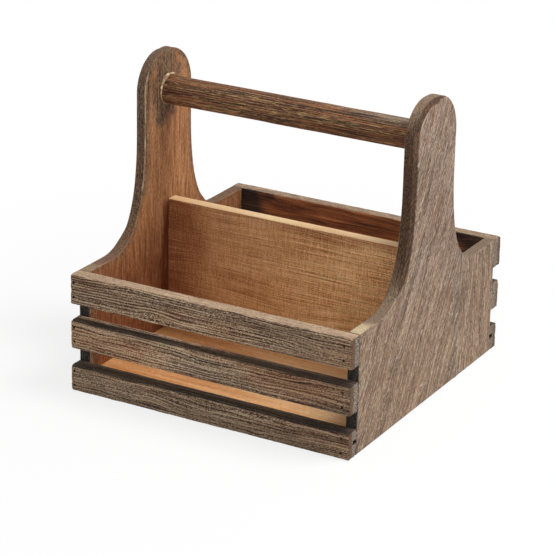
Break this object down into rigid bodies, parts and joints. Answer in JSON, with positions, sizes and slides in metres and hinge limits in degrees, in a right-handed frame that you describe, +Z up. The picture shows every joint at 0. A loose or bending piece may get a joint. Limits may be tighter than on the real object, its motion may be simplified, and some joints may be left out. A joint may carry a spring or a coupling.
{
  "type": "divided wooden table caddy",
  "caption": "Slatted wooden table and napkin caddy: open box with a centre divider, shaped end panels and a round dowel handle between them.",
  "frame": {"origin": "on the surface that the caddy stands on, under the middle of its box", "axes": "+X along the handle from the left end panel to the right one, +Y from front to rear, +Z up"},
  "size_m": [0.25, 0.263, 0.2525],
  "materials": {
    "slat_wood": "charred and wire-brushed softwood, grey-brown with raised grain",
    "panel_wood": "brushed, lightly charred board, pinkish grey-brown outside and warm orange-brown inside",
    "divider_wood": "sawn board, warm mid brown with a pale top edge",
    "floor_wood": "plain light board, orange-tan",
    "handle_wood": "charred and brushed dowel, dark brown with golden streaks",
    "brad_steel": "dull dark steel",
    "dried_glue": "dried wood glue with sawdust in it, pale tan"
  },
  "bodies": {
    "root": {"left_end_panel_main_board": "panel_wood", "left_end_panel_rear_stave": "panel_wood", "right_end_panel_main_board": "panel_wood", "right_end_panel_rear_stave": "panel_wood", "front_bottom_slat": "slat_wood", "front_middle_slat": "slat_wood", "front_top_slat": "slat_wood", "rear_bottom_slat": "slat_wood", "rear_middle_slat": "slat_wood", "rear_top_slat": "slat_wood", "front_bottom_slat_brads": "brad_steel", "front_middle_slat_brads": "brad_steel", "front_top_slat_brads": "brad_steel", "rear_bottom_slat_brads": "brad_steel", "rear_middle_slat_brads": "brad_steel", "rear_top_slat_brads": "brad_steel", "floor_board": "floor_wood", "divider_board": "divider_wood", "handle_dowel": "handle_wood", "handle_glue_fillets": "dried_glue"}
  },
  "joints": []
}
